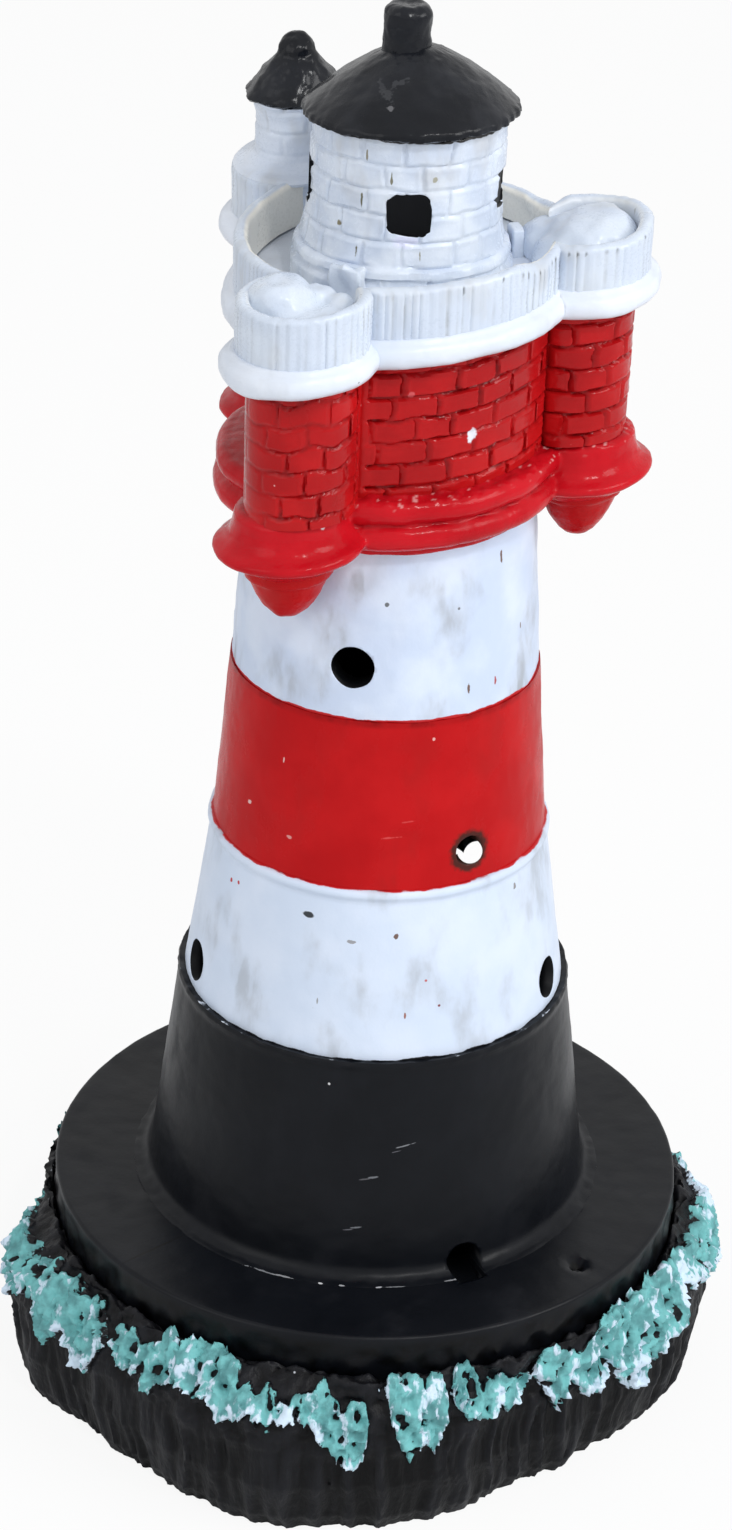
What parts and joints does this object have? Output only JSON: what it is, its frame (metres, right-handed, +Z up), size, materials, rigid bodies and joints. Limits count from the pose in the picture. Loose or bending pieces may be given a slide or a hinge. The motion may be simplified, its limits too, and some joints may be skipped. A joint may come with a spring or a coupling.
{
  "type": "aquarium lighthouse ornament",
  "caption": "Painted resin lighthouse ornament for a fish tank: hollow banded tower with water ports, brick gallery with oriels and turret, lantern house, and rock base edged with surf.",
  "frame": {"origin": "centre of the box that the ornament fills, on the floor that it stands on; the tower's axis passes through it", "axes": "+Z up the tower's axis; -Y is the side that the picture shows, with the turret at the back left"},
  "size_m": [0.1047, 0.1021, 0.2016],
  "materials": {
    "black_rock": "black painted resin cast as rough rock, half gloss",
    "surf_crust": "spongy turquoise and white paint, matt",
    "black_paint": "brushed black enamel on resin, satin",
    "white_paint": "cool white enamel on resin with grey smudges, satin",
    "red_paint": "red enamel on resin, glossy",
    "red_brick_paint": "red enamel over moulded bricks, darker in the joints, glossy",
    "white_gallery_paint": "white enamel over moulded bricks and ribs, satin",
    "black_roof_paint": "black enamel on resin, glossy",
    "window_black": "black enamel, glossy"
  },
  "bodies": {
    "root": {"rock_base": "black_rock", "surf_crust": "surf_crust", "plinth": "black_paint", "tower_foot": "black_paint", "tower_lower_white": "white_paint", "tower_red": "red_paint", "tower_upper_white": "white_paint", "gallery_corbel": "red_paint", "pendant_front": "red_paint", "pendant_right": "red_paint", "pendant_rear": "red_paint", "brick_storey": "red_brick_paint", "gallery_deck": "white_gallery_paint", "gallery_parapet": "white_gallery_paint", "oriel_cap_front": "white_gallery_paint", "oriel_cap_right": "white_gallery_paint", "turret_body": "white_gallery_paint", "turret_roof": "black_roof_paint", "lantern_house": "white_gallery_paint", "lantern_windows": "window_black", "lantern_roof": "black_roof_paint", "roof_knob": "black_roof_paint", "door_steps": "white_gallery_paint"}
  },
  "joints": []
}
